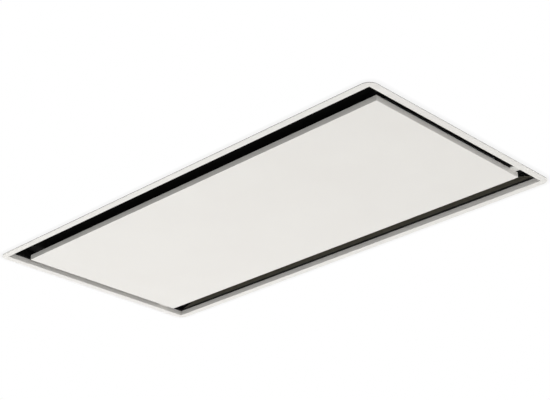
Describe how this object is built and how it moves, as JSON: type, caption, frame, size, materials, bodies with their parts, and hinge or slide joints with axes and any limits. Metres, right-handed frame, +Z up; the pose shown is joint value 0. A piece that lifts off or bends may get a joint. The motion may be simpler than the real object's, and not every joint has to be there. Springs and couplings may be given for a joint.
{
  "type": "ceiling range hood",
  "caption": "Recessed ceiling range hood: flanged frame, hinged perimeter-suction panel, grease filters, blower in a sheet casing and a side duct collar with damper flaps.",
  "frame": {"origin": "centre of the ceiling plane, on the back of the ceiling frame's flange", "axes": "+X along the long side, +Y towards the panel's hinge and the duct collar, +Z up into the ceiling"},
  "size_m": [1, 0.5496, 0.2244],
  "materials": {
    "white_paint": "satin powder coat",
    "black_paint": "semi-gloss",
    "galvanised_steel": "spangled",
    "zinc_plated_steel": "bright",
    "aluminium": "mill finish",
    "aluminium_foil": "bright",
    "motor_steel": "satin",
    "black_plastic": "fine grain",
    "grey_plastic": "fine grain",
    "white_nylon": "satin",
    "rubber": "matt",
    "green_laminate": "solder mask"
  },
  "bodies": {
    "hood": {"ceiling_frame": "white_paint", "hinge_bushes": "white_nylon", "hinge_bracket_left": "white_paint", "hinge_bracket_right": "white_paint", "magnet_catches": "black_plastic", "deck_screws": "zinc_plated_steel", "filter_deck": "black_paint", "filter_frames": "aluminium", "filter_meshes": "aluminium_foil", "casing_front": "galvanised_steel", "casing_rear": "galvanised_steel", "casing_ends": "galvanised_steel", "casing_top": "galvanised_steel", "casing_screws": "zinc_plated_steel", "hanging_brackets": "zinc_plated_steel", "hanger_screws": "zinc_plated_steel", "blower_base": "galvanised_steel", "blower_cover": "galvanised_steel", "inlet_ring": "galvanised_steel", "motor": "motor_steel", "motor_bearings": "zinc_plated_steel", "motor_screws": "zinc_plated_steel", "blower_isolators": "rubber", "blower_standoffs": "zinc_plated_steel", "blower_bolts": "zinc_plated_steel", "outlet_transition": "galvanised_steel", "duct_spigot": "black_plastic", "spigot_screws": "zinc_plated_steel", "damper_pin": "zinc_plated_steel", "control_box": "galvanised_steel", "control_box_lid": "galvanised_steel", "box_screws": "zinc_plated_steel", "control_board": "green_laminate", "board_parts": "black_plastic", "terminal_block": "white_nylon", "cable_gland": "black_plastic", "gland_dome": "black_plastic", "gland_locknut": "black_plastic", "run_capacitor": "aluminium", "capacitor_clip": "zinc_plated_steel", "motor_lead": "grey_plastic", "lead_clips": "zinc_plated_steel", "clip_screws": "zinc_plated_steel"},
    "panel": {"panel_tray": "white_paint", "panel_back_plate": "white_paint", "stiffener_front": "galvanised_steel", "stiffener_rear": "galvanised_steel", "panel_rivets": "aluminium", "striker_plates": "zinc_plated_steel", "hinge_arm_left": "white_paint", "hinge_arm_right": "white_paint", "hinge_pins": "zinc_plated_steel"},
    "impeller": {"impeller": "galvanised_steel", "impeller_nut": "zinc_plated_steel", "motor_rotor": "motor_steel"},
    "flap_left": {"damper_flap_left": "white_nylon"},
    "flap_right": {"damper_flap_right": "white_nylon"},
    "latch_1": {"filter_latch_1": "grey_plastic"},
    "latch_2": {"filter_latch_2": "grey_plastic"},
    "latch_3": {"filter_latch_3": "grey_plastic"}
  },
  "joints": [
    {"name": "panel_hinge", "type": "hinge", "parent": "hood", "child": "panel", "pos_m": [0, 0.1805, 0.0125], "axis": [1, 0, 0], "range_deg": [0, 90]},
    {"name": "filter_latch_1_slide", "type": "slide", "parent": "hood", "child": "latch_1", "axis": [0, 1, 0], "range_m": [0, 0.006], "stiffness_N_per_m": 400, "springref_m": -0.003},
    {"name": "filter_latch_2_slide", "type": "slide", "parent": "hood", "child": "latch_2", "axis": [0, 1, 0], "range_m": [0, 0.006], "stiffness_N_per_m": 400, "springref_m": -0.003},
    {"name": "filter_latch_3_slide", "type": "slide", "parent": "hood", "child": "latch_3", "axis": [0, 1, 0], "range_m": [0, 0.006], "stiffness_N_per_m": 400, "springref_m": -0.003},
    {"name": "impeller_spin", "type": "hinge", "parent": "hood", "child": "impeller", "pos_m": [-0.15, -0.03, 0.13], "axis": [0, 0, 1], "continuous": true},
    {"name": "damper_left", "type": "hinge", "parent": "hood", "child": "flap_left", "pos_m": [0, 0.2516, 0.1162], "axis": [0, 0, -1], "range_deg": [0, 75], "stiffness_Nm_per_rad": 0.01, "springref_deg": -11.46},
    {"name": "damper_right", "type": "hinge", "parent": "hood", "child": "flap_right", "pos_m": [0, 0.2516, 0.1162], "axis": [0, 0, 1], "range_deg": [0, 75], "stiffness_Nm_per_rad": 0.01, "springref_deg": -11.46}
  ]
}
